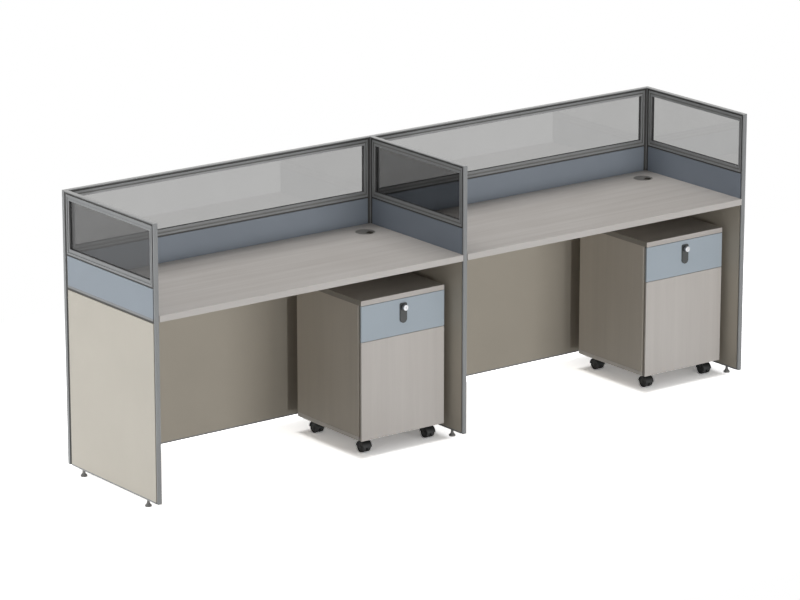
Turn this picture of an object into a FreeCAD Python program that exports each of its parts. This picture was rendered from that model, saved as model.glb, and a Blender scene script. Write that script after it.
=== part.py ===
import FreeCAD, Part

import math
import os

Vector = FreeCAD.Vector

# Two-bay cubicle workstation in millimetres: X to the right, Y to the back, Z up.
# The origin is on the floor, under the middle of the whole workstation.

# Layout of the partitions
bay_width = 1400.0
partition_length = 600.0
partition_thickness = 20.0
floor_gap = 28.0

# Rails and boards of a partition, from the floor up
web_width = 12.0
web_depth = 12.0
trim_head = 6.0
trim_round = 5.0
bottom_rail_height = 6.0
worktop_overlap = 5.0
mid_web_height = 9.5
mid_head_height = 8.5
upper_board_height = 114.0
groove_height = 7.0
glazing_height = 231.0
cap_height = 3.0
cap_round = 2.0
board_thickness = 19.0

# Corner posts
post_wall = 3.0
post_round = 8.0

# Mitred glazing members, whose stepped section is given in shares of their width
glazing_rail_height = 22.0
glazing_stile_width = 17.0
lip_share = 0.35
recess_share = 0.62
slot_share = 0.70
pane_share = 0.75
recess_depth = 2.5
inner_face_depth = 1.5
glass_thickness = 5.0

# Levelling feet
foot_inset_front = 80.0
foot_inset_back = 80.0
foot_radius = 13.0
foot_base_height = 9.0
stud_radius = 5.0
stud_reach = 20.0
insert_width = 14.0
insert_height = 24.0

# Worktops
worktop_height = 750.0
worktop_thickness = 25.0
worktop_side_gap = 0.5
worktop_back_gap = 0.5
edge_band = 2.0
edge_round = 1.5
angle_leg = 30.0
angle_thickness = 3.0
angle_round = 2.0
side_angle_length = 360.0
side_angle_start = 120.0
back_angle_length = 500.0

# Cable grommets
grommet_inset = 97.0
sleeve_radius = 36.0
sleeve_wall = 3.0
sleeve_depth = 22.0
sleeve_gap = 0.1
flange_radius = 41.0
flange_thickness = 3.0
flange_gap = 0.1
lid_radius = 37.5
lid_thickness = 1.8
lid_gap = 0.1
cable_slot_width = 34.0
cable_slot_start = 8.0
cable_slot_turn = -60.0

# Pedestals
pedestal_width = 400.0
pedestal_headroom = 105.0
pedestal_side_gap = 30.0
pedestal_setback = 80.0
pedestal_back_gap = 100.0
top_thickness = 20.0
side_thickness = 18.0
base_thickness = 18.0
back_thickness = 16.0
top_round = 2.0
carcass_lift = 58.0

# Drawer fronts
front_thickness = 18.0
front_gap = 2.0
front_reveal = 2.0
front_side_inset = 1.0
front_bevel = 11.0
front_round = 0.8
drawer_front_height = 142.0

# Drawer boxes and slides
slide_space = 11.0
box_back_gap = 26.0
sheet = 1.5
hem_width = 4.0
hem_drop = 8.0
floor_flange = 14.0
floor_thickness = 3.0
drawer_wall_rise = 18.0
drawer_wall_height = 86.0
file_wall_rise = 32.0
file_wall_drop = 132.0
slide_rise = 25.0
slide_height = 35.0
slide_sheet = 1.2
slide_reach = 10.0
slide_setback = 2.0
slide_end_gap = 6.0
slide_gap = 0.4
slide_side_gap = 0.8

# Lock of the drawer
lock_plate_width = 32.0
lock_plate_height = 80.0
lock_plate_thickness = 5.0
lock_plate_round = 6.0
lock_plate_drop = 18.0
knob_drop = 35.0
collar_radius = 14.0
collar_height = 3.0
barrel_radius = 9.0
barrel_gap = 0.1
barrel_excess = 2.0
spindle_radius = 4.0
knob_radius = 11.0
knob_height = 12.0
knob_gap = 0.3
key_slot_length = 9.0
key_slot_width = 2.0
key_slot_depth = 1.5
cam_width = 14.0
cam_reach = 42.0
cam_thickness = 3.0
cam_gap = 0.4
strike_gap = 1.5
strike_width = 8.0
strike_half_length = 26.0

# Casters
caster_inset = 46.0
caster_plate = 36.0
caster_plate_thickness = 2.5
kingpin_radius = 4.0
kingpin_length = 10.5
kingpin_end_gap = 0.4
wheel_radius = 22.0
wheel_inner = 3.5
wheel_outer = 19.0
axle_radius = 3.0
caster_trail = 20.0
hood_gap = 1.0
hood_wall = 2.5
hood_half_width = 20.0
hood_web = 5.0
hood_web_drop = 8.0
hood_web_half_length = 8.0
hood_web_reach = 19.0
housing_width = 18.0
housing_height = 12.0
housing_gap = 0.2
gusset_height = 24.0

# Fits and helpers
running_gap = 0.08
overrun = 5.0
same_point = 0.001

# Places worked out from the sizes above
pitch = bay_width + partition_thickness
half_partition = partition_thickness / 2
half_web = web_width / 2
half_board = board_thickness / 2
front_y = -(partition_length + partition_thickness) / 2
back_face_y = front_y + partition_length
back_centre_y = back_face_y + half_partition
back_y = back_face_y + partition_thickness
worktop_base = worktop_height - worktop_thickness
lower_board_base = floor_gap + bottom_rail_height
lower_board_top = worktop_base - worktop_overlap
mid_head_base = lower_board_top + mid_web_height
mid_head_top = mid_head_base + mid_head_height
upper_board_top = mid_head_top + upper_board_height
glazing_base = upper_board_top + groove_height
glazing_top = glazing_base + glazing_height
cap_base = glazing_top + groove_height
partition_height = cap_base + cap_height
partition_places = {"left": -pitch, "middle": 0.0, "right": pitch}
bay_starts = {"left": half_partition - pitch, "right": half_partition}
foot_places = {"front": foot_inset_front, "rear": partition_length - foot_inset_back}
stud_bore = stud_radius + running_gap
x_axis = Vector(1, 0, 0)
y_axis = Vector(0, 1, 0)
z_axis = Vector(0, 0, 1)
whole_turn = 360
quarter_turn = 90

planes = {
    "xy": (lambda a, b, level: Vector(a, b, level), z_axis),
    "xz": (lambda a, b, level: Vector(a, level, b), y_axis),
    "yz": (lambda a, b, level: Vector(level, a, b), x_axis),
}
nodes = {}


# Wire through corners given as (a, b) or (a, b, radius) in one of the three planes
def outline(corners, plane, level):
    lift = planes[plane][0]
    points = [lift(corner[0], corner[1], level) for corner in corners]
    starts = []
    middles = []
    ends = []
    for index, corner in enumerate(corners):
        here = points[index]
        radius = corner[2] if len(corner) > 2 else 0
        if radius == 0:
            starts.append(here)
            middles.append(None)
            ends.append(here)
            continue
        back = (points[index - 1] - here).normalize()
        ahead = (points[(index + 1) % len(points)] - here).normalize()
        half_angle = back.getAngle(ahead) / 2
        reach = radius / math.tan(half_angle)
        inward = (back + ahead).normalize()
        starts.append(here + back * reach)
        middles.append(here + inward * (radius / math.sin(half_angle) - radius))
        ends.append(here + ahead * reach)
    edges = []
    for index, middle in enumerate(middles):
        if middle is not None:
            edges.append(Part.Arc(starts[index], middle, ends[index]).toShape())
        following = starts[(index + 1) % len(starts)]
        if ends[index].distanceToPoint(following) > same_point:
            edges.append(Part.LineSegment(ends[index], following).toShape())
    return Part.Wire(edges)


def prism(corners, plane, start, end):
    face = Part.Face(outline(corners, plane, start))
    return face.extrude(planes[plane][1] * (end - start))


def block(x_range, y_range, z_range):
    corner = Vector(x_range[0], y_range[0], z_range[0])
    return Part.makeBox(
        x_range[1] - x_range[0], y_range[1] - y_range[0], z_range[1] - z_range[0], corner
    )


def rod(radius, start, end, plane, a=0.0, b=0.0):
    lift, normal = planes[plane]
    return Part.makeCylinder(radius, end - start, lift(a, b, start), normal)


# Solid turned about Z from corners given as (radius, height)
def turned(corners):
    face = Part.Face(outline(corners, "xz", 0.0))
    return face.revolve(Vector(), z_axis, whole_turn)


def moved(shape, x=0.0, y=0.0, z=0.0):
    copy = shape.copy()
    copy.translate(Vector(x, y, z))
    return copy


def rotated(shape, axis, angle):
    copy = shape.copy()
    copy.rotate(Vector(), axis, angle)
    return copy


def mirrored(shape):
    return shape.mirror(Vector(), x_axis)


# Both copies of something that stands left and right of X = 0
def pair(shape):
    return [mirrored(shape), shape]


def add(name, solids):
    nodes.setdefault(name, []).extend(solids)


# Partition parts are drawn along X from 0 to their length, centred on Y = 0
def front_trim():
    corners = [
        (0.0, -half_partition, trim_round),
        (trim_head, -half_partition),
        (trim_head, -half_web),
        (web_depth, -half_web),
        (web_depth, half_web),
        (trim_head, half_web),
        (trim_head, half_partition),
        (0.0, half_partition, trim_round),
    ]
    return prism(corners, "xy", floor_gap, cap_base)


def end_web(start):
    return block((start, start + web_depth), (-half_web, half_web), (floor_gap, cap_base))


def bottom_rail(start, end):
    return block(
        (start, end), (-half_partition, half_partition), (floor_gap, lower_board_base)
    )


def middle_rail(start, end):
    corners = [
        (-half_web, lower_board_top),
        (half_web, lower_board_top),
        (half_web, mid_head_base),
        (half_partition, mid_head_base),
        (half_partition, mid_head_top),
        (-half_partition, mid_head_top),
        (-half_partition, mid_head_base),
        (-half_web, mid_head_base),
    ]
    return prism(corners, "yz", start, end)


def groove_strip(start, end):
    return block((start, end), (-half_web, half_web), (upper_board_top, glazing_base))


# Crosswise section of the capping, rounded along its upper edges on the chosen sides
def cap_section(middle, low_round, high_round):
    return [
        (middle - half_partition, cap_base),
        (middle + half_partition, cap_base),
        (middle + half_partition, partition_height, high_round),
        (middle - half_partition, partition_height, low_round),
    ]


def capping(length, free_end):
    head = prism(cap_section(0.0, cap_round, cap_round), "yz", 0.0, length)
    if free_end:
        plan = [
            (0.0, -half_partition, trim_round),
            (length, -half_partition),
            (length, half_partition),
            (0.0, half_partition, trim_round),
        ]
        head = head.common(prism(plan, "xy", cap_base, partition_height))
    web = block(
        (web_depth, length - web_depth), (-half_web, half_web), (glazing_top, cap_base)
    )
    return head.fuse(web)


# Stepped section of a glazing member from its outer edge inwards, as (distance, across)
def glazing_section(edge, inward):
    recess_face = half_partition - recess_depth
    inner_face = half_partition - inner_face_depth
    half_glass = glass_thickness / 2
    half_section = [
        (0.0, half_partition),
        (lip_share, half_partition),
        (lip_share, recess_face),
        (recess_share, recess_face),
        (recess_share, inner_face),
        (1.0, inner_face),
        (1.0, half_glass),
        (slot_share, half_glass),
    ]
    section = half_section + [(share, -across) for share, across in reversed(half_section)]
    return [(edge + share * inward, across) for share, across in section]


# Four members round a pane, each cut to the mitres between its outer and inner edge
def glazing_members(start, end):
    stile = glazing_stile_width
    rail = glazing_rail_height
    outer = [(start, glazing_base), (end, glazing_base), (end, glazing_top), (start, glazing_top)]
    inner = [
        (start + stile, glazing_base + rail),
        (end - stile, glazing_base + rail),
        (end - stile, glazing_top - rail),
        (start + stile, glazing_top - rail),
    ]
    sections = [
        (glazing_section(glazing_base, rail), "yz", start, end),
        (glazing_section(end, -stile), "xy", glazing_base, glazing_top),
        (glazing_section(glazing_top, -rail), "yz", start, end),
        (glazing_section(start, stile), "xy", glazing_base, glazing_top),
    ]
    members = []
    for index, (section, plane, first, last) in enumerate(sections):
        following = (index + 1) % len(outer)
        mitres = [outer[index], outer[following], inner[following], inner[index]]
        corners = [point[::-1] for point in section] if plane == "yz" else section
        bar = prism(corners, plane, first, last)
        wedge = prism(mitres, "xz", -half_partition, half_partition)
        members.append(bar.common(wedge))
    return members


def pane(start, end):
    side = glazing_stile_width * pane_share
    edge = glazing_rail_height * pane_share
    half_glass = glass_thickness / 2
    return block(
        (start + side, end - side),
        (-half_glass, half_glass),
        (glazing_base + edge, glazing_top - edge),
    )


def board(start, end, base, top):
    return block((start, end), (-half_board, half_board), (base, top))


# All solids of one partition, by node; side partitions have a front trim and feet
def partition(length, is_side):
    start = web_depth
    end = length - web_depth
    lower = board(start, end, lower_board_base, lower_board_top)
    rail = bottom_rail(start, end)
    first_end = front_trim() if is_side else end_web(0.0)
    frame = [
        first_end,
        end_web(end),
        middle_rail(start, end),
        groove_strip(start, end),
        capping(length, is_side),
    ]
    if is_side:
        insert_top = lower_board_base + insert_height
        half_insert = insert_width / 2
        for place in foot_places.values():
            bore = rod(stud_bore, floor_gap - overrun, insert_top + overrun, "xy", place)
            insert = block(
                (place - half_insert, place + half_insert),
                (-half_insert, half_insert),
                (floor_gap, insert_top),
            )
            lower = lower.cut(insert)
            rail = rail.cut(insert)
            frame.append(insert.cut(bore))
    frame.append(rail)
    return {
        "frame": frame,
        "cream_boards": [lower],
        "blue_boards": [board(start, end, mid_head_top, upper_board_top)],
        "glazing_members": glazing_members(start, end),
        "glass_panes": [pane(start, end)],
    }


def add_partition(frame_name, parts, place):
    for name, solids in parts.items():
        node = frame_name if name == "frame" else name
        add(node, [place(solid) for solid in solids])


def add_partitions():
    side = partition(partition_length, True)
    back = partition(bay_width, False)
    for name, x in partition_places.items():
        add_partition(
            name + "_side_frame",
            side,
            lambda solid: moved(rotated(solid, z_axis, quarter_turn), x, front_y),
        )
    for name, x in bay_starts.items():
        add_partition(
            name + "_back_frame", back, lambda solid: moved(solid, x, back_centre_y)
        )


# Hollow post behind a side partition, rounded at its outer back corner, with a cap
def corner_post(x, outward):
    left_round, right_round = {-1: (1, 0), 0: (0, 0), 1: (0, 1)}[outward]

    def square(inset):
        corner = post_round - inset
        return [
            (x - half_partition + inset, back_face_y + inset),
            (x + half_partition - inset, back_face_y + inset),
            (x + half_partition - inset, back_y - inset, corner * right_round),
            (x - half_partition + inset, back_y - inset, corner * left_round),
        ]

    tube = prism(square(0.0), "xy", floor_gap, cap_base)
    hollow = prism(square(post_wall), "xy", floor_gap - overrun, cap_base + overrun)
    plan = prism(square(0.0), "xy", cap_base, partition_height)
    along_y = prism(
        cap_section(x, cap_round * left_round, cap_round * right_round), "xz", back_face_y, back_y
    )
    along_x = prism(
        cap_section(back_centre_y, 0, cap_round), "yz", x - half_partition, x + half_partition
    )
    return [tube.cut(hollow), plan.common(along_y).common(along_x)]


def add_posts():
    outward = {"left": -1, "middle": 0, "right": 1}
    for name, x in partition_places.items():
        add("corner_posts", corner_post(x, outward[name]))


# Round foot on a threaded stud
def levelling_foot():
    stud = rod(stud_radius, foot_base_height, floor_gap + stud_reach, "xy")
    return rod(foot_radius, 0.0, foot_base_height, "xy").fuse(stud)


def add_feet():
    foot = levelling_foot()
    for side, x in partition_places.items():
        for end, place in foot_places.items():
            add(side + "_" + end + "_foot", [moved(foot, x, front_y + place)])


# Steel angle section with its corner at the top; direction is the way its top leg points
def angle_section(corner, direction):
    leg = direction * angle_leg
    wall = direction * angle_thickness
    return [
        (corner, worktop_base),
        (corner + leg, worktop_base),
        (corner + leg, worktop_base - angle_thickness),
        (corner + wall, worktop_base - angle_thickness, angle_round),
        (corner + wall, worktop_base - angle_leg),
        (corner, worktop_base - angle_leg),
    ]


def add_worktop_angles():
    start = front_y + side_angle_start
    end = start + side_angle_length
    for x in bay_starts.values():
        left_face = x - half_partition + half_board
        right_face = x + bay_width + half_partition - half_board
        middle = x + bay_width / 2
        back_face = back_centre_y - half_board
        add("worktop_angles", [
            prism(angle_section(left_face, 1), "xz", start, end),
            prism(angle_section(right_face, -1), "xz", start, end),
            prism(
                angle_section(back_face, -1),
                "yz",
                middle - back_angle_length / 2,
                middle + back_angle_length / 2,
            ),
        ])


def grommet_centre(bay_start):
    return bay_start + bay_width - grommet_inset, back_face_y - grommet_inset


def add_worktops():
    for name, bay_start in bay_starts.items():
        x_range = (bay_start + worktop_side_gap, bay_start + bay_width - worktop_side_gap)
        board_front = front_y + edge_band
        panel = block(
            x_range, (board_front, back_face_y - worktop_back_gap), (worktop_base, worktop_height)
        )
        x, y = grommet_centre(bay_start)
        above = worktop_height + overrun
        rebate_base = worktop_height - flange_thickness
        hole = rod(sleeve_radius + sleeve_gap, worktop_base - overrun, above, "xy", x, y)
        rebate = rod(flange_radius + flange_gap, rebate_base, above, "xy", x, y)
        band = prism(
            [
                (front_y, worktop_base, edge_round),
                (board_front, worktop_base),
                (board_front, worktop_height),
                (front_y, worktop_height, edge_round),
            ],
            "yz",
            *x_range,
        )
        add(name + "_worktop", [panel.cut(hole).cut(rebate), band])


# Ring with a sleeve, a flange let into the worktop and a stepped seat for the turning cap
def grommet_ring():
    bore = sleeve_radius - sleeve_wall
    seat_radius = lid_radius + lid_gap
    return turned([
        (bore, -sleeve_depth),
        (sleeve_radius, -sleeve_depth),
        (sleeve_radius, -flange_thickness),
        (flange_radius, -flange_thickness),
        (flange_radius, 0.0),
        (seat_radius, 0.0),
        (seat_radius, -lid_thickness),
        (bore, -lid_thickness),
    ])


def grommet_cap():
    lid = rod(lid_radius, -lid_thickness, 0.0, "xy")
    half_slot = cable_slot_width / 2
    slot = block(
        (cable_slot_start, lid_radius + overrun),
        (-half_slot, half_slot),
        (-lid_thickness - overrun, overrun),
    )
    return rotated(lid.cut(slot), z_axis, cable_slot_turn)


def add_grommets():
    for name, bay_start in bay_starts.items():
        x, y = grommet_centre(bay_start)
        add("grommet_rings", [moved(grommet_ring(), x, y, worktop_height)])
        add(name + "_grommet_cap", [moved(grommet_cap(), x, y, worktop_height)])


# Pedestal parts are drawn about X = 0 with the drawer fronts at Y = 0
pedestal_height = worktop_base - pedestal_headroom
pedestal_depth = partition_length - pedestal_setback - pedestal_back_gap
half_pedestal = pedestal_width / 2
carcass_front = front_thickness + front_gap
box_end = pedestal_depth - back_thickness - box_back_gap
carcass_inside = half_pedestal - side_thickness
box_half_width = carcass_inside - slide_space
top_base = pedestal_height - top_thickness
base_top = carcass_lift + base_thickness
drawer_top = top_base - front_reveal
drawer_base = drawer_top - drawer_front_height
file_top = drawer_base - front_reveal
file_base = carcass_lift + front_reveal
file_wall_height = file_top - file_wall_drop - file_base - file_wall_rise
knob_height_z = top_base - knob_drop
cam_start = front_thickness + barrel_excess + cam_gap


def pedestal_top():
    corners = [
        (-half_pedestal, 0.0, top_round),
        (half_pedestal, 0.0, top_round),
        (half_pedestal, pedestal_depth, top_round),
        (-half_pedestal, pedestal_depth, top_round),
    ]
    slab = prism(corners, "xy", top_base, pedestal_height)
    strike_middle = cam_start + cam_thickness / 2
    strike = block(
        (-strike_half_length, strike_half_length),
        (strike_middle - strike_width / 2, strike_middle + strike_width / 2),
        (top_base - overrun, knob_height_z + cam_reach + strike_gap),
    )
    return slab.cut(strike)


def pedestal_side():
    return block(
        (carcass_inside, half_pedestal), (carcass_front, pedestal_depth), (base_top, top_base)
    )


def pedestal_base_and_back():
    base = block(
        (-half_pedestal, half_pedestal), (carcass_front, pedestal_depth), (carcass_lift, base_top)
    )
    back = block(
        (-carcass_inside, carcass_inside),
        (pedestal_depth - back_thickness, pedestal_depth),
        (base_top, top_base),
    )
    return [base, back]


# Front board whose side edges are bevelled behind as finger grips
def drawer_front(base, top):
    half_width = half_pedestal - front_side_inset
    lip = front_thickness - front_bevel
    corners = [
        (-half_width, 0.0, front_round),
        (half_width, 0.0, front_round),
        (half_width, lip),
        (half_width - front_bevel, front_thickness),
        (front_bevel - half_width, front_thickness),
        (-half_width, lip),
    ]
    return prism(corners, "xy", base, top)


# Closed section of folded sheet whose points run along its outer face, metal to the left
def bent_section(points, thickness):
    inner = []
    outer = []
    for index, (a, b) in enumerate(points):
        here = Vector(a, b, 0)
        steps = []
        if index > 0:
            steps.append((here - Vector(*points[index - 1], 0)).normalize())
        if index < len(points) - 1:
            steps.append((Vector(*points[index + 1], 0) - here).normalize())
        shift = Vector()
        for step in steps:
            shift += Vector(-step.y, step.x, 0) * thickness
        outer.append((a, b))
        inner.append((a + shift.x, b + shift.y))
    return outer + inner[::-1]


# One folded side wall: floor flange, wall and a hem turned outwards
def box_wall(base, height):
    top = base + height - sheet
    outside = box_half_width + hem_width
    wall = bent_section(
        [
            (box_half_width - floor_flange, base),
            (box_half_width, base),
            (box_half_width, top),
            (outside, top),
            (outside, top - hem_drop),
        ],
        sheet,
    )
    return prism(wall, "xz", front_thickness, box_end)


def moving_slide(base):
    middle = base + slide_rise
    half_height = slide_height / 2 - slide_sheet - slide_gap
    reach = carcass_inside - slide_sheet - slide_side_gap
    section = bent_section(
        [
            (reach, middle + half_height),
            (box_half_width, middle + half_height),
            (box_half_width, middle - half_height),
            (reach, middle - half_height),
        ],
        slide_sheet,
    )
    return prism(section, "xz", carcass_front + slide_setback, box_end)


def fixed_slide(base):
    middle = base + slide_rise
    half_height = slide_height / 2
    lip = carcass_inside - slide_reach
    section = bent_section(
        [
            (lip, middle - half_height),
            (carcass_inside, middle - half_height),
            (carcass_inside, middle + half_height),
            (lip, middle + half_height),
        ],
        slide_sheet,
    )
    return prism(section, "xz", carcass_front + slide_setback, box_end - slide_end_gap)


def drawer_box(base, height):
    inside = box_half_width - sheet
    tray_base = base + sheet
    tray_top = tray_base + floor_thickness
    tray = block((-inside, inside), (front_thickness, box_end), (tray_base, tray_top))
    back = block((-inside, inside), (box_end - sheet, box_end), (tray_top, base + height - sheet))
    return pair(box_wall(base, height)) + pair(moving_slide(base)) + [tray, back]


# Plate with a round collar and a threaded barrel that reaches through the drawer front
def lock_plate():
    top = top_base - lock_plate_drop
    base = top - lock_plate_height
    half_width = lock_plate_width / 2
    corners = [
        (-half_width, base, half_width - same_point),
        (half_width, base, half_width - same_point),
        (half_width, top, lock_plate_round),
        (-half_width, top, lock_plate_round),
    ]
    plate = prism(corners, "xz", -lock_plate_thickness, 0.0)
    collar_front = -lock_plate_thickness - collar_height
    barrel_end = front_thickness + barrel_excess
    collar = rod(collar_radius, collar_front, -lock_plate_thickness, "xz", 0.0, knob_height_z)
    barrel = rod(barrel_radius, 0.0, barrel_end, "xz", 0.0, knob_height_z)
    bore = rod(
        spindle_radius + running_gap,
        collar_front - overrun,
        barrel_end + overrun,
        "xz",
        0.0,
        knob_height_z,
    )
    return plate.fuse([collar, barrel]).cut(bore)


# Knob, spindle and cam in one piece; the cam lies level when the drawer is unlocked
def lock_knob():
    collar_front = lock_plate_thickness + collar_height + knob_gap
    knob_front = collar_front + knob_height
    body = turned([
        (0.0, -cam_start - cam_thickness),
        (spindle_radius, -cam_start - cam_thickness),
        (spindle_radius, collar_front),
        (knob_radius, collar_front),
        (knob_radius, knob_front),
        (0.0, knob_front),
    ])
    body = moved(rotated(body, x_axis, quarter_turn), 0.0, 0.0, knob_height_z)
    half_slot = key_slot_width / 2
    half_key = key_slot_length / 2
    key_slot = block(
        (-half_slot, half_slot),
        (-knob_front - overrun, key_slot_depth - knob_front),
        (knob_height_z - half_key, knob_height_z + half_key),
    )
    half_cam = cam_width / 2
    cam = block(
        (-half_cam, cam_reach),
        (cam_start, cam_start + cam_thickness),
        (knob_height_z - half_cam, knob_height_z + half_cam),
    )
    return body.cut(key_slot).fuse(cam)


# Caster parts are drawn about their kingpin with the floor at Z = 0
plate_base = carcass_lift - caster_plate_thickness
kingpin_end = plate_base - kingpin_length
housing_top = plate_base - housing_gap
housing_base = housing_top - housing_height


def caster_mount():
    half_plate = caster_plate / 2
    plate_range = (-half_plate, half_plate)
    plate = block(plate_range, plate_range, (plate_base, carcass_lift))
    return plate.fuse(rod(kingpin_radius, kingpin_end, plate_base, "xy"))


# Hood over both wheels with the web between them and the kingpin housing
def caster_hood():
    inner = wheel_radius + hood_gap
    outer = inner + hood_wall
    axle = (-caster_trail, wheel_radius)
    half_web_width = hood_web / 2
    fender = rod(outer, -hood_half_width, hood_half_width, "yz", *axle)
    fender = fender.cut(
        rod(inner, -hood_half_width - overrun, hood_half_width + overrun, "yz", *axle)
    )
    reach = outer + overrun
    below_axle = block(
        (-reach, reach), (axle[0] - reach, axle[0] + reach), (-overrun, wheel_radius)
    )
    web = prism(
        [
            (axle[0] - hood_web_half_length, wheel_radius - hood_web_drop),
            (axle[0] + hood_web_half_length, wheel_radius - hood_web_drop),
            (housing_width / 4, housing_base),
            (housing_width / 4, housing_top),
            (axle[0], wheel_radius + gusset_height),
            (axle[0] - hood_web_reach, wheel_radius + hood_web_drop),
        ],
        "yz",
        -half_web_width,
        half_web_width,
    )
    half_housing = housing_width / 2
    housing_range = (-half_housing, half_housing)
    housing = block(housing_range, housing_range, (housing_base, housing_top))
    hood = fender.cut(below_axle).fuse([web, housing])
    pin_bore = rod(
        kingpin_radius + running_gap, kingpin_end - kingpin_end_gap, housing_top + overrun, "xy"
    )
    axle_bore = rod(
        axle_radius + running_gap, -half_web_width - overrun, half_web_width + overrun, "yz", *axle
    )
    return hood.cut(pin_bore).cut(axle_bore)


# Both wheels and their axle, turned about Z from one section and then laid along X
def caster_wheels():
    half_section = [
        (axle_radius, wheel_inner),
        (wheel_radius, wheel_inner),
        (wheel_radius, wheel_outer),
        (0.0, wheel_outer),
    ]
    other_half = [(radius, -across) for radius, across in reversed(half_section)]
    pair_of_wheels = turned(other_half + half_section)
    pair_of_wheels = rotated(pair_of_wheels, y_axis, quarter_turn)
    return moved(pair_of_wheels, 0.0, -caster_trail, wheel_radius)


def add_pedestal(name, x):
    y = front_y + pedestal_setback

    def place(part, solids):
        add(name + "_" + part, [moved(solid, x, y) for solid in solids])

    drawer_wall_base = drawer_base + drawer_wall_rise
    file_wall_base = file_base + file_wall_rise
    barrel_hole = rod(
        barrel_radius + barrel_gap, -overrun, front_thickness + overrun, "xz", 0.0, knob_height_z
    )
    place("pedestal_top", [pedestal_top()])
    place("pedestal_sides", pair(pedestal_side()))
    place("pedestal_base_and_back", pedestal_base_and_back())
    place(
        "drawer_rails", pair(fixed_slide(drawer_wall_base)) + pair(fixed_slide(file_wall_base))
    )
    place("drawer_front", [drawer_front(drawer_base, drawer_top).cut(barrel_hole)])
    place("drawer_box", drawer_box(drawer_wall_base, drawer_wall_height))
    place("file_front", [drawer_front(file_base, file_top)])
    place("file_box", drawer_box(file_wall_base, file_wall_height))
    place("lock_plate", [lock_plate()])
    place("lock_knob", [lock_knob()])
    side_reach = half_pedestal - caster_inset
    rows = {"front": carcass_front + caster_inset, "back": pedestal_depth - caster_inset}
    for row, caster_y in rows.items():
        for side, caster_x in {"left": -side_reach, "right": side_reach}.items():
            corner = row + "_" + side
            place("caster_plates", [moved(caster_mount(), caster_x, caster_y)])
            place("hood_" + corner, [moved(caster_hood(), caster_x, caster_y)])
            place("wheels_" + corner, [moved(caster_wheels(), caster_x, caster_y)])


def add_pedestals():
    for name, bay_start in bay_starts.items():
        add_pedestal(name, bay_start + bay_width - pedestal_side_gap - half_pedestal)


add_partitions()
add_posts()
add_feet()
add_worktop_angles()
add_worktops()
add_grommets()
add_pedestals()

os.makedirs("parts", exist_ok=True)
for name, solids in nodes.items():
    shape = solids[0] if len(solids) == 1 else Part.makeCompound(solids)
    shape.exportStep("parts/" + name + ".step")
    print(name, len(solids), "solids")
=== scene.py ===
import math

import bmesh
import bpy
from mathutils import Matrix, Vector


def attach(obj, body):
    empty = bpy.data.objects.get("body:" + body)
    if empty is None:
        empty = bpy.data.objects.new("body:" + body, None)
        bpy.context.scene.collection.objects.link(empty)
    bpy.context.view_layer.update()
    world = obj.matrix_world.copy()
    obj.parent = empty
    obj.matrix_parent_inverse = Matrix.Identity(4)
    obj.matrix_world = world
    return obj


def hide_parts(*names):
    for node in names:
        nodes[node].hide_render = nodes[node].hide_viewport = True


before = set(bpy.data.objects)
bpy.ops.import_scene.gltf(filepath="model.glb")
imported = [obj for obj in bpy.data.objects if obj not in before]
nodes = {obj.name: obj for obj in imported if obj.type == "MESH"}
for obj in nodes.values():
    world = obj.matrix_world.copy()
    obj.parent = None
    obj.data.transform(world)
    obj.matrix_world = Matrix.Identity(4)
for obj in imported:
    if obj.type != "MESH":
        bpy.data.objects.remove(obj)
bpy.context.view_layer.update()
print("CAD frame loaded with", len(nodes), "nodes")

pedestalSides = ("left", "right")
casterCorners = ("front_left", "front_right", "back_left", "back_right")

white = (1, 1, 1, 1)
black = (0, 0, 0, 1)

# shares of a tone for the middle and the dark of a grain, and where clouds start and end
grainShares = (0.97, 0.93)
cloudRange = (0.3, 0.7)


# colour given as 0 to 255 per channel, as a picture shows it
def tint(red, green, blue):
    channels = []
    for value in (red, green, blue):
        share = value / 255
        channels.append(share / 12.92 if share <= 0.04045 else ((share + 0.055) / 1.055) ** 2.4)
    return (*channels, 1.0)


def shaded(colour, share):
    return (*(channel * share for channel in colour[:3]), 1.0)


# a tone and two darker ones for a grain
def threeTones(tone):
    return tone, *(shaded(tone, share) for share in grainShares)


def startMaterial(name):
    material = bpy.data.materials.new(name)
    material.use_nodes = True
    tree = material.node_tree
    return material, tree, tree.nodes["Principled BSDF"]


def newNode(tree, kind, inputs=None, **settings):
    node = tree.nodes.new(kind)
    for key, value in settings.items():
        setattr(node, key, value)
    for key, value in (inputs or {}).items():
        node.inputs[key].default_value = value
    return node


# noise in the piece's own coordinates, stretched by a size in metres along each axis
def stretchedNoise(tree, sizes, detail=2.0, roughness=0.5, distortion=0.0):
    place = newNode(tree, "ShaderNodeTexCoord")
    mapping = newNode(tree, "ShaderNodeMapping", {"Scale": [1 / size for size in sizes]})
    noise = newNode(tree, "ShaderNodeTexNoise", {
        "Scale": 1.0, "Detail": detail, "Roughness": roughness, "Distortion": distortion,
    })
    tree.links.new(place.outputs["Object"], mapping.inputs["Vector"])
    tree.links.new(mapping.outputs["Vector"], noise.inputs["Vector"])
    return noise.outputs["Fac"]


def colourRamp(tree, factor, stops):
    ramp = newNode(tree, "ShaderNodeValToRGB")
    elements = ramp.color_ramp.elements
    for index, (position, colour) in enumerate(stops):
        element = elements[index] if index < 2 else elements.new(position)
        element.position = position
        element.color = colour
    tree.links.new(factor, ramp.inputs["Fac"])
    return ramp.outputs["Color"]


# a colour that clouds over to a darker share of itself
def cloudedTone(tree, factor, colour, share):
    return colourRamp(tree, factor, zip(cloudRange, (shaded(colour, share), colour)))


def multiplied(tree, first, second, share):
    mix = newNode(tree, "ShaderNodeMix", {0: share}, data_type="RGBA", blend_type="MULTIPLY")
    tree.links.new(first, mix.inputs[6])
    tree.links.new(second, mix.inputs[7])
    return mix.outputs[2]


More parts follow.
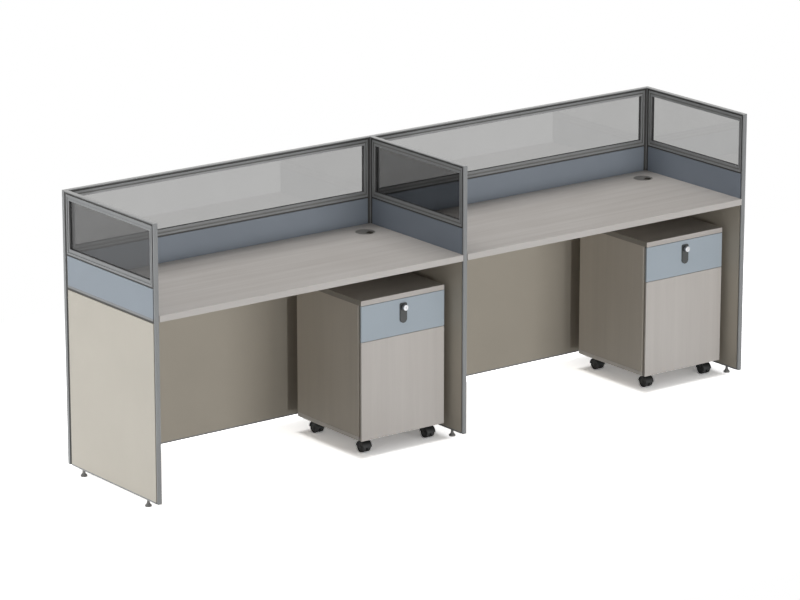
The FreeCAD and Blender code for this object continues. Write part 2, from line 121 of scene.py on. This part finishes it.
def spreadValue(tree, factor, low, high):
    spread = newNode(tree, "ShaderNodeMapRange", {"To Min": low, "To Max": high})
    tree.links.new(factor, spread.inputs["Value"])
    return spread.outputs["Result"]


def addBump(tree, shader, height, strength, distance):
    bump = newNode(tree, "ShaderNodeBump", {"Strength": strength, "Distance": distance})
    tree.links.new(height, bump.inputs["Height"])
    tree.links.new(bump.outputs["Normal"], shader.inputs["Normal"])


# light oak laminate: slow streaks, darker pores and fine fibres, all along one axis
grainLook = {
    "streakLength": 1.1,
    "streakWidth": 0.045,
    "streakStops": (0.28, 0.5, 0.72),
    "fibreLength": 0.16,
    "fibreWidth": 0.0022,
    "fibreStops": (0.3, 0.62),
    "fibreDark": (0.9, 0.9, 0.9, 1),
    "fibreShare": 0.25,
    "cloudSize": 0.35,
    "cloudStops": (0.35, 0.65),
    "cloudDark": (0.96, 0.955, 0.95, 1),
    "roughness": (0.5, 0.62),
    "specular": 0.35,
    "bumpStrength": 0.3,
    "bumpDepth": 0.00006,
}


def laminate(name, axis, light, middle, dark, look=grainLook):
    material, tree, shader = startMaterial(name)

    def alongGrain(length, width):
        return [length if index == axis else width for index in range(3)]

    streakSizes = alongGrain(look["streakLength"], look["streakWidth"])
    fibreSizes = alongGrain(look["fibreLength"], look["fibreWidth"])
    streaks = stretchedNoise(tree, streakSizes, detail=4.0, roughness=0.62, distortion=0.35)
    fibres = stretchedNoise(tree, fibreSizes, detail=2.0, roughness=0.6)
    clouds = stretchedNoise(tree, [look["cloudSize"]] * 3, detail=1.0)
    first, between, last = look["streakStops"]
    tones = colourRamp(tree, streaks, [(first, dark), (last, light), (between, middle)])
    fibreTones = colourRamp(tree, fibres, zip(look["fibreStops"], (look["fibreDark"], white)))
    cloudTones = colourRamp(tree, clouds, zip(look["cloudStops"], (look["cloudDark"], white)))
    colour = multiplied(tree, tones, fibreTones, look["fibreShare"])
    colour = multiplied(tree, colour, cloudTones, 1.0)
    tree.links.new(colour, shader.inputs["Base Color"])
    tree.links.new(spreadValue(tree, fibres, *look["roughness"]), shader.inputs["Roughness"])
    shader.inputs["Specular IOR Level"].default_value = look["specular"]
    addBump(tree, shader, fibres, look["bumpStrength"], look["bumpDepth"])
    return material


# plain melamine face with a fine pearl texture and faint clouding
boardLook = {
    "pearlSize": 0.0016,
    "pearlStops": (0.3, 0.7),
    "pearlDark": (0.965, 0.965, 0.965, 1),
    "cloudSize": 0.22,
    "cloudShare": 0.955,
    "roughness": (0.46, 0.6),
    "specular": 0.2,
    "bumpStrength": 0.4,
    "bumpDepth": 0.00008,
}


def melamine(name, colour, look=boardLook):
    material, tree, shader = startMaterial(name)
    pearl = stretchedNoise(tree, [look["pearlSize"]] * 3, detail=2.0)
    clouds = stretchedNoise(tree, [look["cloudSize"]] * 3, detail=3.0)
    tones = cloudedTone(tree, clouds, colour, look["cloudShare"])
    speckle = colourRamp(tree, pearl, zip(look["pearlStops"], (look["pearlDark"], white)))
    tree.links.new(multiplied(tree, tones, speckle, 1.0), shader.inputs["Base Color"])
    tree.links.new(spreadValue(tree, pearl, *look["roughness"]), shader.inputs["Roughness"])
    shader.inputs["Specular IOR Level"].default_value = look["specular"]
    addBump(tree, shader, pearl, look["bumpStrength"], look["bumpDepth"])
    return material


# powder coat with orange peel, on the aluminium profiles and the steel parts
coatLook = {
    "peelSize": 0.0011,
    "dustSize": 0.09,
    "dustShare": 0.93,
    "roughnessSpread": (-0.05, 0.06),
    "bumpStrength": 0.3,
    "bumpDepth": 0.00006,
}


def powderCoat(name, colour, roughness, look=coatLook):
    material, tree, shader = startMaterial(name)
    peel = stretchedNoise(tree, [look["peelSize"]] * 3, detail=2.0)
    dust = stretchedNoise(tree, [look["dustSize"]] * 3, detail=4.0, roughness=0.6)
    low, high = look["roughnessSpread"]
    tones = cloudedTone(tree, dust, colour, look["dustShare"])
    tree.links.new(tones, shader.inputs["Base Color"])
    tree.links.new(
        spreadValue(tree, dust, roughness + low, roughness + high), shader.inputs["Roughness"]
    )
    addBump(tree, shader, peel, look["bumpStrength"], look["bumpDepth"])
    return material


# moulded plastic with a spark-eroded texture
mouldLook = {
    "pitSize": 0.0009,
    "sheenSize": 0.03,
    "sheenShare": 0.88,
    "roughnessSpread": 0.07,
    "bumpStrength": 0.35,
    "bumpDepth": 0.00007,
}


def mouldedPlastic(name, colour, roughness, look=mouldLook):
    material, tree, shader = startMaterial(name)
    pits = stretchedNoise(tree, [look["pitSize"]] * 3, detail=1.0)
    sheen = stretchedNoise(tree, [look["sheenSize"]] * 3, detail=3.0)
    spread = look["roughnessSpread"]
    tones = cloudedTone(tree, sheen, colour, look["sheenShare"])
    tree.links.new(tones, shader.inputs["Base Color"])
    tree.links.new(
        spreadValue(tree, sheen, roughness - spread, roughness + spread), shader.inputs["Roughness"]
    )
    addBump(tree, shader, pits, look["bumpStrength"], look["bumpDepth"])
    return material


# zinc and chrome, brushed along the sizes that are given
metalLook = {
    "brushShare": 0.85,
    "roughnessShares": (0.7, 1.3),
    "bumpStrength": 0.15,
    "bumpDepth": 0.00003,
}


def brightMetal(name, colour, roughness, brushSizes, look=metalLook):
    material, tree, shader = startMaterial(name)
    brush = stretchedNoise(tree, brushSizes, detail=2.0)
    low, high = look["roughnessShares"]
    tones = cloudedTone(tree, brush, colour, look["brushShare"])
    tree.links.new(tones, shader.inputs["Base Color"])
    tree.links.new(
        spreadValue(tree, brush, roughness * low, roughness * high), shader.inputs["Roughness"]
    )
    shader.inputs["Metallic"].default_value = 1.0
    addBump(tree, shader, brush, look["bumpStrength"], look["bumpDepth"])
    return material


# tinted safety glass; light passes it as through a plain grey filter, so its shadow stays soft
glassLook = {
    "body": tint(177, 177, 176),
    "shadow": tint(204, 204, 203),
    "smearSize": 0.12,
    "smearShare": 0.97,
    "roughness": (0.0, 0.008),
    "ior": 1.45,
    "specular": 0.3,
}
# darker copies of the glass for the left and the middle side panes: painted shade
leftGlassPaintedShadeLook = {**glassLook, "body": tint(144, 144, 144), "shadow": tint(192, 192, 191)}
middleGlassPaintedShadeLook = {**glassLook, "body": tint(123, 123, 123), "shadow": tint(186, 186, 185)}


def tintedGlass(name, look=glassLook):
    material, tree, shader = startMaterial(name)
    smears = stretchedNoise(tree, [look["smearSize"]] * 3, detail=3.0, roughness=0.6)
    tones = cloudedTone(tree, smears, look["body"], look["smearShare"])
    tree.links.new(tones, shader.inputs["Base Color"])
    tree.links.new(spreadValue(tree, smears, *look["roughness"]), shader.inputs["Roughness"])
    shader.inputs["Transmission Weight"].default_value = 1.0
    shader.inputs["IOR"].default_value = look["ior"]
    shader.inputs["Specular IOR Level"].default_value = look["specular"]
    clear = newNode(tree, "ShaderNodeBsdfTransparent", {"Color": look["shadow"]})
    path = newNode(tree, "ShaderNodeLightPath")
    blend = newNode(tree, "ShaderNodeMixShader")
    tree.links.new(path.outputs["Is Shadow Ray"], blend.inputs[0])
    tree.links.new(shader.outputs["BSDF"], blend.inputs[1])
    tree.links.new(clear.outputs["BSDF"], blend.inputs[2])
    tree.links.new(blend.outputs["Shader"], tree.nodes["Material Output"].inputs["Surface"])
    return material


oakTones = (tint(203, 198, 194), tint(197, 192, 187), tint(189, 183, 178))
# lighter tones for the base board's side edges near the floor: painted light
baseEdgePaintedLightTones = (tint(222, 218, 213), tint(217, 213, 208), tint(212, 208, 203))
# sides: a darker, yellower copy of the oak, painted shade
sidePaintedShadeTone = tint(201, 194, 183)
# fronts: a lighter copy of the oak, painted light
frontPaintedLightTone = tint(208, 203, 198)
bandTone = tint(209, 205, 201)
# darker tone for the pedestal top board's side edges: painted shade
topEdgePaintedShadeTone = tint(152, 148, 140)
# darker tone for the pedestal top's upper face: painted shade under the worktop
topFacePaintedShadeTone = tint(180, 175, 168)
finishes = {
    "oakAcross": laminate("oakAcross", 0, *oakTones),
    "oakUpright": laminate("oakUpright", 2, *oakTones),
    "oakFrontPaintedLight": laminate("oakFrontPaintedLight", 2, *threeTones(frontPaintedLightTone)),
    "oakDeep": laminate("oakDeep", 1, *oakTones),
    "oakSidePaintedShade": laminate("oakSidePaintedShade", 2, *threeTones(sidePaintedShadeTone)),
    "edgeBand": laminate("edgeBand", 0, *threeTones(bandTone)),
    "pedestalTopEdgePaintedShade": laminate("pedestalTopEdgePaintedShade", 1, *threeTones(topEdgePaintedShadeTone)),
    "pedestalTopFacePaintedShade": laminate("pedestalTopFacePaintedShade", 0, *threeTones(topFacePaintedShadeTone)),
    "baseEdgePaintedLight": laminate("baseEdgePaintedLight", 1, *baseEdgePaintedLightTones),
    "cream": melamine("cream", tint(204, 199, 188)),
    # darker copy of the cream for the faces on the desks' side: painted shade
    "creamPaintedShade": melamine("creamPaintedShade", tint(187, 180, 167)),
    "blue": melamine("blue", tint(157, 166, 175)),
    # darker copy of the blue for the faces on the desks' side: painted shade
    "bluePaintedShade": melamine("bluePaintedShade", tint(140, 148, 158)),
    # still darker copy of the blue for the bay faces that face across: painted shade
    "blueAcrossPaintedShade": melamine("blueAcrossPaintedShade", tint(133, 141, 152)),
    # lighter copy of the blue for the drawer fronts under the worktop: painted light
    "blueFrontPaintedLight": melamine("blueFrontPaintedLight", tint(179, 190, 199)),
    "frameCoat": powderCoat("frameCoat", tint(142, 144, 145), 0.42),
    # lighter coat on the caps' upward faces: painted light from above
    "capTopPaintedLight": powderCoat("capTopPaintedLight", tint(172, 172, 171), 0.42),
    # darker coat for the glazing lips on the desks' side: painted shade in the recess
    "lipPaintedShade": powderCoat("lipPaintedShade", tint(120, 120, 118), 0.5),
    # lighter coat for the back partitions' upper glazing faces: painted light
    "headFacePaintedLight": powderCoat("headFacePaintedLight", tint(164, 165, 166), 0.42),
    # darker coat for the lips of those upper members: painted shade
    "headLipPaintedShade": powderCoat("headLipPaintedShade", tint(102, 102, 100), 0.5),
    # dark coat on the webs under the caps: painted shade in the grooves
    "webPaintedShade": powderCoat("webPaintedShade", tint(78, 77, 75), 0.6),
    "blackCoat": powderCoat("blackCoat", tint(52, 52, 53), 0.5),
    "boxCoat": powderCoat("boxCoat", tint(176, 178, 180), 0.45),
    "glass": tintedGlass("glass"),
    "leftGlassPaintedShade": tintedGlass("leftGlassPaintedShade", leftGlassPaintedShadeLook),
    "middleGlassPaintedShade": tintedGlass("middleGlassPaintedShade", middleGlassPaintedShadeLook),
    "zinc": brightMetal("zinc", tint(190, 192, 194), 0.34, [0.02, 0.2, 0.002]),
    "chrome": brightMetal("chrome", tint(204, 205, 207), 0.32, [0.004, 0.004, 0.004]),
    "grommetRing": mouldedPlastic("grommetRing", tint(160, 157, 152), 0.5),
    "grommetLid": mouldedPlastic("grommetLid", tint(126, 123, 119), 0.5),
    "lockPlastic": mouldedPlastic("lockPlastic", tint(62, 64, 64), 0.5),
    "collarPlastic": mouldedPlastic("collarPlastic", tint(38, 40, 43), 0.35),
    "footPlastic": mouldedPlastic("footPlastic", tint(122, 121, 119), 0.5),
    "casterPlastic": mouldedPlastic("casterPlastic", tint(17, 18, 18), 0.62),
    "wheelPlastic": mouldedPlastic("wheelPlastic", tint(22, 23, 23), 0.66),
    # dark rubber on the glazing members' inner edges: gaskets, and painted shade beside the panes
    "rubberAndPaintedShade": mouldedPlastic("rubberAndPaintedShade", tint(88, 88, 88), 0.7),
}
print("materials made:", len(finishes))


softEdgeLook = {"weldDistance": 0.00001, "segments": 2, "leastAngle": 40}


# soft edges for a CAD node: its split corners are welded in a modifier, then bevelled
def softenEdges(piece, width, look=softEdgeLook):
    weld = piece.modifiers.new("weld", "WELD")
    weld.merge_threshold = look["weldDistance"]
    bevel = piece.modifiers.new("bevel", "BEVEL")
    bevel.width = width
    bevel.segments = look["segments"]
    bevel.limit_method = "ANGLE"
    bevel.angle_limit = math.radians(look["leastAngle"])
    bevel.harden_normals = True


# finish per face: each rule is a finish and a test on the face's centre and normal
def dress(nodeName, finish, edgeWidth=0.0, rules=()):
    piece = nodes[nodeName]
    mesh = piece.data
    mesh.materials.clear()
    mesh.materials.append(finishes[finish])
    for number, (other, test) in enumerate(rules, 1):
        mesh.materials.append(finishes[other])
        for face in mesh.polygons:
            if test(face.center, face.normal):
                face.material_index = number
    if edgeWidth:
        softenEdges(piece, edgeWidth)


edgeWidths = {
    "frame": 0.0006, "board": 0.0004, "worktop": 0.0008,
    "pedestal": 0.0008, "joint": 0.0014, "plastic": 0.0004,
}

# least share of a normal along an axis for a face that lies square to it
squareShare = 0.9

# middle planes of the partitions and heights on them, in metres
sideMiddles = {"left": -1.42, "middle": 0.0, "right": 1.42}
backMiddle = 0.3
halfThickness = 0.0105
headHeight = 1.07
capHeight = 1.096

# crosswise places inside the partitions, measured from the middle of each
sectionPlaces = {"web": 0.006, "lip": 0.0075, "face": 0.0085}
placeReach = 0.0003
paneReach = 0.01
paneEdge = {"from": 0.0026, "to": 0.0086, "mostFacing": 0.1}


# distance of a face from the middle plane of its partition, and how far it faces across
def acrossPartition(centre, normal):
    if centre.y > backMiddle - halfThickness:
        return abs(centre.y - backMiddle), abs(normal.y)
    return min(abs(centre.x - middle) for middle in sideMiddles.values()), abs(normal.x)


# true on the desks' side of the partitions
def facesBay(centre, normal):
    return abs(centre.x) < sideMiddles["right"] and centre.y < backMiddle


# true for faces that look across their partition at one place of its section
def liesAt(place):
    def test(centre, normal):
        distance, facing = acrossPartition(centre, normal)
        return facing > squareShare and abs(distance - sectionPlaces[place]) < placeReach
    return test


# the same along the upper glazing members of the back partitions, seen from the desks
def liesAtHead(place):
    def test(centre, normal):
        facesDesk = normal.y < -squareShare and centre.z > headHeight
        return facesDesk and liesAt(place)(centre, normal)
    return test


def facesAcross(centre, normal):
    return abs(normal.x) > squareShare


def facesBayAcross(centre, normal):
    return facesBay(centre, normal) and facesAcross(centre, normal)


def facesBayLip(centre, normal):
    return liesAt("lip")(centre, normal) and facesBay(centre, normal)


def facesUp(centre, normal):
    return normal.z > squareShare


def facesUpOnCap(centre, normal):
    return facesUp(centre, normal) and centre.z > capHeight


# inner edges of the glazing members, between the pane and the inner face
def facesPane(centre, normal):
    distance, facing = acrossPartition(centre, normal)
    return facing < paneEdge["mostFacing"] and paneEdge["from"] < distance < paneEdge["to"]


# true for the whole pane of one side partition
def liesInPane(place):
    def test(centre, normal):
        return abs(centre.x - sideMiddles[place]) < paneReach
    return test


for frameName in ("left_side", "middle_side", "right_side", "left_back", "right_back"):
    dress(frameName + "_frame", "frameCoat", edgeWidths["frame"], [
        # webs in the grooves get a dark coat, painted shade; cap tops a lighter coat, painted light
        ("webPaintedShade", liesAt("web")), ("capTopPaintedLight", facesUpOnCap),
    ])
# cap tops get the lighter coat: painted light
dress("corner_posts", "frameCoat", edgeWidths["frame"], [("capTopPaintedLight", facesUpOnCap)])
dress("glazing_members", "frameCoat", edgeWidths["board"], [
    # bay-side lips darker, upper back faces lighter and their lips darker: painted shade and
    # painted light
    ("lipPaintedShade", facesBayLip), ("headFacePaintedLight", liesAtHead("face")),
    # inner edges by the panes get the dark rubber: gaskets and painted shade
    ("headLipPaintedShade", liesAtHead("lip")), ("rubberAndPaintedShade", facesPane),
])
# faces on the desks' side get the darker cream: painted shade
dress("cream_boards", "cream", edgeWidths["board"], [("creamPaintedShade", facesBay)])
dress("blue_boards", "blue", edgeWidths["board"], [
    # bay faces get a darker blue, darker still where they face across: painted shade
    ("bluePaintedShade", facesBay), ("blueAcrossPaintedShade", facesBayAcross),
])
dress("glass_panes", "glass", 0.0, [
    # left and middle panes get the darker glass: painted shade
    ("leftGlassPaintedShade", liesInPane("left")), ("middleGlassPaintedShade", liesInPane("middle")),
])
dress("worktop_angles", "blackCoat", edgeWidths["board"])
dress("grommet_rings", "grommetRing", edgeWidths["plastic"])

pedestalPlaces = {"left": -0.24, "right": 1.18}
worktopFront = -0.3079
baseBoardTop = 0.0765
lockCollarFront = -0.2352


def liesInEdgeBand(centre, normal):
    return centre.y < worktopFront


def liesOnCollar(centre, normal):
    return centre.y < lockCollarFront


# true for the base board's faces that lie square to one axis
def facesOnBase(axis):
    def test(centre, normal):
        return centre.z < baseBoardTop and abs(normal[axis]) > squareShare
    return test


for bay in pedestalSides:
    dress(bay + "_worktop", "oakAcross", edgeWidths["worktop"], [
        ("edgeBand", liesInEdgeBand), ("oakDeep", facesAcross),
    ])
    dress(bay + "_grommet_cap", "grommetLid", edgeWidths["plastic"])
    # the top board's side edges and upper face get darker oak: painted shade
    dress(bay + "_pedestal_top", "oakAcross", edgeWidths["pedestal"], [
        ("pedestalTopEdgePaintedShade", facesAcross), ("pedestalTopFacePaintedShade", facesUp),
    ])
    # pedestal sides get the darker oak: painted shade
    dress(bay + "_pedestal_sides", "oakSidePaintedShade", edgeWidths["joint"])
    dress(bay + "_pedestal_base_and_back", "oakUpright", edgeWidths["joint"], [
        # the base board's side edges get the lighter oak: painted light
        ("oakDeep", facesOnBase(2)), ("oakAcross", facesOnBase(1)), ("baseEdgePaintedLight", facesOnBase(0)),
    ])
    # drawer fronts get the lighter blue: painted light
    dress(bay + "_drawer_front", "blueFrontPaintedLight", edgeWidths["pedestal"])
    # file fronts get the lighter oak: painted light
    dress(bay + "_file_front", "oakFrontPaintedLight", edgeWidths["pedestal"])
    dress(bay + "_drawer_box", "boxCoat")
    dress(bay + "_file_box", "boxCoat")
    dress(bay + "_drawer_rails", "zinc")
    dress(bay + "_caster_plates", "zinc")
    dress(bay + "_lock_plate", "lockPlastic", edgeWidths["plastic"], [
        ("collarPlastic", liesOnCollar),
    ])
    dress(bay + "_lock_knob", "chrome", edgeWidths["plastic"])
    for corner in casterCorners:
        dress(bay + "_hood_" + corner, "casterPlastic", edgeWidths["plastic"])
        dress(bay + "_wheels_" + corner, "wheelPlastic", edgeWidths["plastic"])
for place in ("left", "middle", "right"):
    for end in ("front", "rear"):
        dress(place + "_" + end + "_foot", "footPlastic", edgeWidths["plastic"])
print("CAD nodes dressed")


# edges of a turned piece stay sharp over this angle in degrees
sharpAngle = 38


# turned piece from (radius, distance along the axis) points; axis 0 is X and 2 is Z
def lathe(name, profile, axis, steps, finish):
    vertices = []
    rings = []
    for radius, along in profile:
        count = 1 if radius == 0 else steps
        rings.append(range(len(vertices), len(vertices) + count))
        for step in range(count):
            angle = 2 * math.pi * step / steps
            across = (radius * math.cos(angle), radius * math.sin(angle))
            vertices.append((along, *across) if axis == 0 else (*across, along))
    faces = []
    for first, second in zip(rings, rings[1:]):
        for step in range(steps):
            following = (step + 1) % steps
            corners = [
                first[step % len(first)], first[following % len(first)],
                second[following % len(second)], second[step % len(second)],
            ]
            faces.append(list(dict.fromkeys(corners)))
    mesh = bpy.data.meshes.new(name)
    mesh.from_pydata(vertices, [], faces)
    work = bmesh.new()
    work.from_mesh(mesh)
    bmesh.ops.recalc_face_normals(work, faces=work.faces)
    work.to_mesh(mesh)
    work.free()
    mesh.materials.append(finishes[finish])
    mesh.shade_smooth()
    mesh.set_sharp_from_angle(angle=math.radians(sharpAngle))
    return mesh


def placed(name, mesh, location, body):
    piece = bpy.data.objects.new(name, mesh)
    bpy.context.scene.collection.objects.link(piece)
    piece.location = location
    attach(piece, body)
    return piece


# twin wheels of a caster: crowned treads, a dished outer face with a hub cap, and the axle
wheelLook = {
    "steps": 56,
    "side": [
        (0.0000, 0.0187), (0.0058, 0.0187), (0.0068, 0.0180), (0.0070, 0.0168),
        (0.0162, 0.0164), (0.0178, 0.0176), (0.0188, 0.0189), (0.0201, 0.0189),
        (0.0214, 0.0180), (0.0220, 0.0160), (0.0220, 0.0066), (0.0216, 0.0047),
        (0.0204, 0.0036), (0.0030, 0.0036),
    ],
    "stemAcross": 0.154,
    "stemAlong": {"front": -0.164, "back": 0.144},
    "trail": 0.02,
    "axleHeight": 0.022,
}


def makeWheels(look=wheelLook):
    otherSide = [(radius, -along) for radius, along in reversed(look["side"])]
    mesh = lathe("twinWheels", look["side"] + otherSide, 0, look["steps"], "wheelPlastic")
    for bay in pedestalSides:
        for corner in casterCorners:
            row, side = corner.split("_")
            across = look["stemAcross"] * (-1 if side == "left" else 1)
            location = (
                pedestalPlaces[bay] + across, look["stemAlong"][row] - look["trail"],
                look["axleHeight"],
            )
            body = bay + "_wheel_pair_" + corner
            piece = placed(bay + "TwinWheels_" + corner, mesh, location, body)
            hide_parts(bay + "_wheels_" + corner)


# levelling foot: bell-shaped base with a low rim, running out into the threaded stud
footLook = {
    "steps": 48,
    "profile": [
        (0.0, 0.0), (0.0122, 0.0), (0.0130, 0.0008), (0.0130, 0.0052), (0.0124, 0.0066),
        (0.0106, 0.0082), (0.0084, 0.0104), (0.0068, 0.0134), (0.0058, 0.0172), (0.0050, 0.0215),
        (0.0050, 0.048), (0.0, 0.048),
    ],
    "along": {"front": -0.23, "rear": 0.21},
}


def makeFeet(look=footLook):
    mesh = lathe("bellFoot", look["profile"], 2, look["steps"], "footPlastic")
    for place, middle in sideMiddles.items():
        for end, along in look["along"].items():
            nodeName = place + "_" + end + "_foot"
            name = place + end.capitalize() + "BellFoot"
            piece = placed(name, mesh, (middle, along, 0.0), nodeName)
            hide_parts(nodeName)


makeWheels()
makeFeet()
print("wheels and feet made")


# studio: pale floor, even surroundings and four lamps
studioLook = {
    "floorSize": 60.0,
    "floorColour": (0.8, 0.8, 0.8, 1.0),
    "seenFloorColour": (2.4, 2.4, 2.4, 1.0),
    # under each pedestal the floor glows less: a painted shadow patch of this size and place
    "paintedShadowGlow": 0.1,
    "nearGlow": 0.62,
    "farGlow": 1.0,
    "nearArea": (2.2, 1.1),
    "nearFade": (1.0, 2.0),
    "paintedShadowSize": (0.235, 0.23),
    "paintedShadowPlace": -0.04,
    "paintedShadowFade": (0.84, 1.0),
    "surroundStrength": 0.29,
}

# each lamp: watts, width, height, place, target
lampLook = {
    "keyLamp": (215.0, 0.6, 0.6, (-3.4, -12.0, 0.7), (0.0, 0.0, 0.5)),
    "frontLamp": (118.0, 3.0, 0.8, (1.6, -7.0, 0.65), (0.1, 0.0, 0.5)),
    "leftLamp": (132.0, 2.0, 0.8, (-6.5, 0.9, 0.5), (-1.4, 0.0, 0.5)),
    "topLamp": (100.0, 4.0, 1.5, (0.1, 1.5, 5.0), (0.0, 0.0, 0.6)),
}


# 1 for the rays that should meet a white studio: seen directly, mirrored or through glass
def seenRays(tree):
    path = newNode(tree, "ShaderNodeLightPath")
    direct = newNode(tree, "ShaderNodeMath", operation="MAXIMUM")
    tree.links.new(path.outputs["Is Camera Ray"], direct.inputs[0])
    tree.links.new(path.outputs["Is Glossy Ray"], direct.inputs[1])
    seen = newNode(tree, "ShaderNodeMath", operation="MAXIMUM")
    tree.links.new(direct.outputs[0], seen.inputs[0])
    tree.links.new(path.outputs["Is Transmission Ray"], seen.inputs[1])
    return seen.outputs[0]


# 0 right under a pedestal and 1 outside, where the floor's glow gives way to a painted shadow; it
# moves with the pedestal
def paintedShadowEdge(tree, bay, look):
    place = newNode(tree, "ShaderNodeTexCoord", object=nodes[bay + "_pedestal_sides"])
    width, depth = look["paintedShadowSize"]
    patch = newNode(tree, "ShaderNodeMapping", {
        "Location": [-pedestalPlaces[bay] / width, -look["paintedShadowPlace"] / depth, 0.0],
        "Scale": [1 / width, 1 / depth, 0.0],
    })
    corner = newNode(tree, "ShaderNodeVectorMath", operation="ABSOLUTE")
    parts = newNode(tree, "ShaderNodeSeparateXYZ")
    distance = newNode(tree, "ShaderNodeMath", operation="MAXIMUM")
    tree.links.new(place.outputs["Object"], patch.inputs["Vector"])
    tree.links.new(patch.outputs["Vector"], corner.inputs[0])
    tree.links.new(corner.outputs[0], parts.inputs[0])
    tree.links.new(parts.outputs["X"], distance.inputs[0])
    tree.links.new(parts.outputs["Y"], distance.inputs[1])
    start, end = look["paintedShadowFade"]
    edge = newNode(tree, "ShaderNodeMapRange", {
        "From Min": start, "From Max": end,
    }, interpolation_type="SMOOTHSTEP")
    tree.links.new(distance.outputs[0], edge.inputs["Value"])
    return edge.outputs["Result"]


# a white floor that keeps the shadows, with a painted shadow patch under each pedestal; from below
# it can be seen through
def makeFloor(look=studioLook):
    half = look["floorSize"] / 2
    mesh = bpy.data.meshes.new("studioFloor")
    corners = [(-half, -half, 0), (half, -half, 0), (half, half, 0), (-half, half, 0)]
    mesh.from_pydata(corners, [], [(0, 1, 2, 3)])
    floor = bpy.data.objects.new("studioFloor", mesh)
    bpy.context.scene.collection.objects.link(floor)
    material, tree, shader = startMaterial("studioFloor")
    tree.nodes.remove(shader)
    seen = seenRays(tree)
    place = newNode(tree, "ShaderNodeTexCoord")
    width, depth = look["nearArea"]
    nearness = newNode(tree, "ShaderNodeMapping", {"Scale": [1 / width, 1 / depth, 1.0]})
    distance = newNode(tree, "ShaderNodeVectorMath", operation="LENGTH")
    start, end = look["nearFade"]
    farness = newNode(tree, "ShaderNodeMapRange", {"From Min": start, "From Max": end})
    seenTone = newNode(tree, "ShaderNodeMix", {
        6: look["seenFloorColour"], 7: black,
    }, data_type="RGBA")
    tone = newNode(tree, "ShaderNodeMix", {6: look["floorColour"]}, data_type="RGBA")
    diffuse = newNode(tree, "ShaderNodeBsdfDiffuse")
    outside = newNode(tree, "ShaderNodeMath", operation="MULTIPLY")
    near = newNode(tree, "ShaderNodeMapRange", {
        "To Min": look["paintedShadowGlow"], "To Max": look["nearGlow"],
    })
    glow = newNode(tree, "ShaderNodeMapRange", {"To Max": look["farGlow"]})
    seenGlow = newNode(tree, "ShaderNodeMath", operation="MULTIPLY")
    emission = newNode(tree, "ShaderNodeEmission")
    both = newNode(tree, "ShaderNodeAddShader")
    tree.links.new(place.outputs["Object"], nearness.inputs["Vector"])
    tree.links.new(nearness.outputs["Vector"], distance.inputs[0])
    tree.links.new(distance.outputs["Value"], farness.inputs["Value"])
    tree.links.new(farness.outputs["Result"], seenTone.inputs[0])
    tree.links.new(seen, tone.inputs[0])
    tree.links.new(seenTone.outputs[2], tone.inputs[7])
    tree.links.new(tone.outputs[2], diffuse.inputs["Color"])
    tree.links.new(paintedShadowEdge(tree, "left", look), outside.inputs[0])
    tree.links.new(paintedShadowEdge(tree, "right", look), outside.inputs[1])
    tree.links.new(outside.outputs[0], near.inputs["Value"])
    tree.links.new(near.outputs["Result"], glow.inputs["To Min"])
    tree.links.new(farness.outputs["Result"], glow.inputs["Value"])
    tree.links.new(glow.outputs["Result"], seenGlow.inputs[0])
    tree.links.new(seen, seenGlow.inputs[1])
    tree.links.new(seenGlow.outputs[0], emission.inputs["Strength"])
    tree.links.new(diffuse.outputs["BSDF"], both.inputs[0])
    tree.links.new(emission.outputs["Emission"], both.inputs[1])
    sideSeen = newNode(tree, "ShaderNodeNewGeometry")
    clear = newNode(tree, "ShaderNodeBsdfTransparent")
    surface = newNode(tree, "ShaderNodeMixShader")
    tree.links.new(sideSeen.outputs["Backfacing"], surface.inputs[0])
    tree.links.new(both.outputs["Shader"], surface.inputs[1])
    tree.links.new(clear.outputs["BSDF"], surface.inputs[2])
    tree.links.new(surface.outputs["Shader"], tree.nodes["Material Output"].inputs["Surface"])
    mesh.materials.append(material)


def makeSurround(look=studioLook):
    world = bpy.data.worlds.new("studioSurround")
    world.use_nodes = True
    bpy.context.scene.world = world
    tree = world.node_tree
    background = tree.nodes["Background"]
    background.inputs["Color"].default_value = white
    strength = newNode(tree, "ShaderNodeMapRange", {
        "To Min": look["surroundStrength"], "To Max": 1.0,
    })
    tree.links.new(seenRays(tree), strength.inputs["Value"])
    tree.links.new(strength.outputs["Result"], background.inputs["Strength"])


def makeLamp(name, energy, width, height, place, target):
    data = bpy.data.lights.new(name, "AREA")
    data.shape = "RECTANGLE"
    data.size = width
    data.size_y = height
    data.energy = energy
    lamp = bpy.data.objects.new(name, data)
    bpy.context.scene.collection.objects.link(lamp)
    lamp.location = place
    lamp.rotation_euler = (Vector(target) - Vector(place)).to_track_quat("-Z", "Y").to_euler()


makeFloor()
makeSurround()
for lampName, lampValues in lampLook.items():
    makeLamp(lampName, *lampValues)
print("studio lit")

# camera: place in metres, turn and tilt in radians
cameraLook = {
    "lens": 186.9,
    "clipEnd": 100.0,
    "place": (-9.4364, -12.4419, 4.958),
    "turn": 0.6447,
    "tilt": 0.2782,
}


def makeCamera(look=cameraLook):
    data = bpy.data.cameras.new("camera")
    data.lens = look["lens"]
    data.clip_end = look["clipEnd"]
    camera = bpy.data.objects.new("camera", data)
    bpy.context.scene.collection.objects.link(camera)
    camera.location = look["place"]
    camera.rotation_euler = (math.pi / 2 - look["tilt"], 0.0, -look["turn"])
    bpy.context.scene.camera = camera


makeCamera()
bpy.context.scene.view_settings.view_transform = "Standard"
